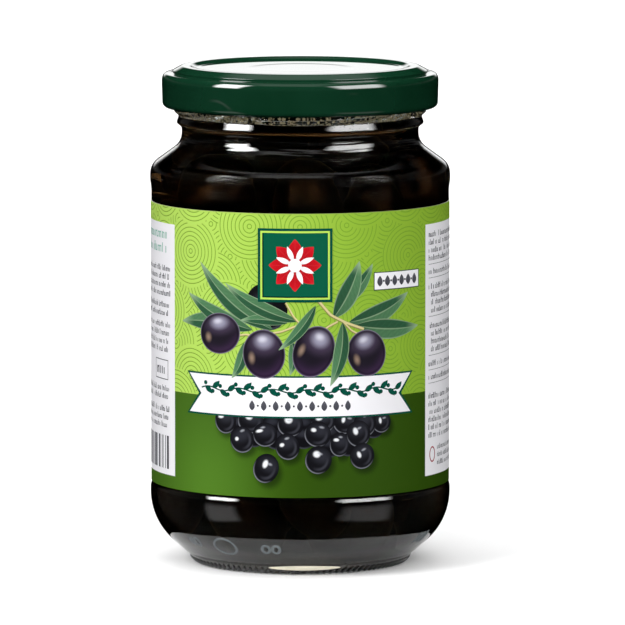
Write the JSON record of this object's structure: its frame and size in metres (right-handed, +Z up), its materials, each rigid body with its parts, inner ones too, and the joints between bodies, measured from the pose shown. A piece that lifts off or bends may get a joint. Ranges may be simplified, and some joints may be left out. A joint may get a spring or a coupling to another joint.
{
  "type": "jar of olives",
  "caption": "Shut glass jar of black olives in dark brine, with a green twist-off lid and a green paper wrap-around label.",
  "frame": {"origin": "middle of the foot ring, on the surface that the jar stands on", "axes": "+Z up along the jar's axis, -Y towards the middle of the label's front, +X to the right as the label is read"},
  "size_m": [0.0726, 0.0727, 0.1204],
  "materials": {
    "glass": "clear flint glass, pressed and blown, fire-polished",
    "lid_lacquer": "glossy dark green lacquer on tinplate",
    "label_paper": "coated paper printed in two greens, satin",
    "olive_skin": "black olive skin wet with brine, standing in for food"
  },
  "bodies": {
    "root": {"jar_glass": "glass", "lid": "lid_lacquer", "label": "label_paper", "olives": "olive_skin"}
  },
  "joints": []
}
